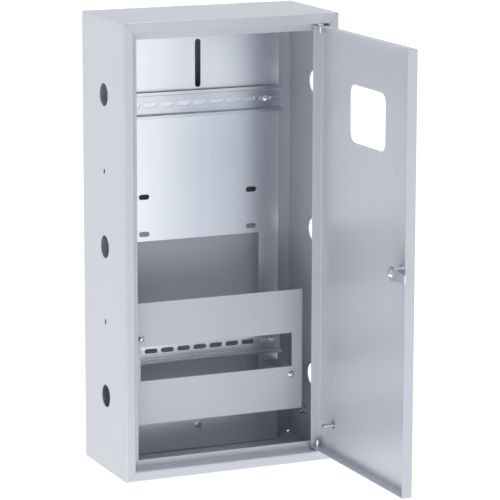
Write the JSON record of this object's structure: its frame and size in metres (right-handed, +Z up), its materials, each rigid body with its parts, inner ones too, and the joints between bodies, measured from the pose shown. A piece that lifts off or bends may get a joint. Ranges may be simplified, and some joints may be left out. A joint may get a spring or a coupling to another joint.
{
  "type": "meter and distribution cabinet",
  "caption": "Wall-hung sheet-steel meter and distribution cabinet with a windowed hinged door, cam lock, meter plate, DIN rails and a false panel with a module window.",
  "frame": {"origin": "centre of the back face, on the wall", "axes": "+X to the right as seen from the front, +Y into the wall, +Z up"},
  "size_m": [0.3, 0.4161, 0.6],
  "materials": {
    "cabinet_paint": "fine-textured light grey powder coat",
    "cover_paint": "fine-textured light grey powder coat",
    "door_paint": "fine-textured light grey powder coat",
    "galvanised_sheet": "smooth galvanised sheet, half-bright",
    "rail_zinc": "zinc-plated, half-bright",
    "bracket_zinc": "zinc-plated, half-bright",
    "fastener_zinc": "bright zinc plate",
    "stud_steel": "plain bright steel",
    "pin_steel": "turned bright steel",
    "lock_nickel": "satin nickel plate",
    "lock_zinc": "zinc-plated, half-bright"
  },
  "bodies": {
    "cabinet": {"back_panel": "cabinet_paint", "left_side": "cabinet_paint", "right_side": "cabinet_paint", "top_sheet": "cabinet_paint", "bottom_sheet": "cabinet_paint", "left_rim": "cabinet_paint", "right_rim": "cabinet_paint", "top_rim": "cabinet_paint", "bottom_rim": "cabinet_paint", "mounting_panel": "galvanised_sheet", "panel_studs": "stud_steel", "panel_washers": "fastener_zinc", "panel_nuts": "fastener_zinc", "upper_rail": "rail_zinc", "lower_rail": "rail_zinc", "rail_screws": "fastener_zinc", "left_bracket": "bracket_zinc", "right_bracket": "bracket_zinc", "false_panel": "cover_paint", "false_panel_screws": "fastener_zinc", "earth_stud": "stud_steel", "earth_washer": "fastener_zinc", "earth_nut": "fastener_zinc"},
    "door": {"door_panel": "door_paint", "top_hinge_pin": "pin_steel", "bottom_hinge_pin": "pin_steel", "hinge_clips": "pin_steel", "door_earth_stud": "stud_steel", "lock_housing": "lock_nickel", "lock_nut": "lock_zinc"},
    "lock": {"lock_plug": "lock_nickel", "lock_cam": "lock_zinc", "cam_washer": "lock_zinc", "cam_screw": "lock_zinc"}
  },
  "joints": [
    {"name": "door_hinge", "type": "hinge", "parent": "cabinet", "child": "door", "pos_m": [0.127, -0.143, 0], "axis": [0, 0, 1], "range_deg": [-90.5, 14.5]},
    {"name": "lock_turn", "type": "hinge", "parent": "door", "child": "lock", "pos_m": [0.13604, -0.37693, 0], "axis": [-1, -0.0087, 0], "range_deg": [0, 90]}
  ]
}
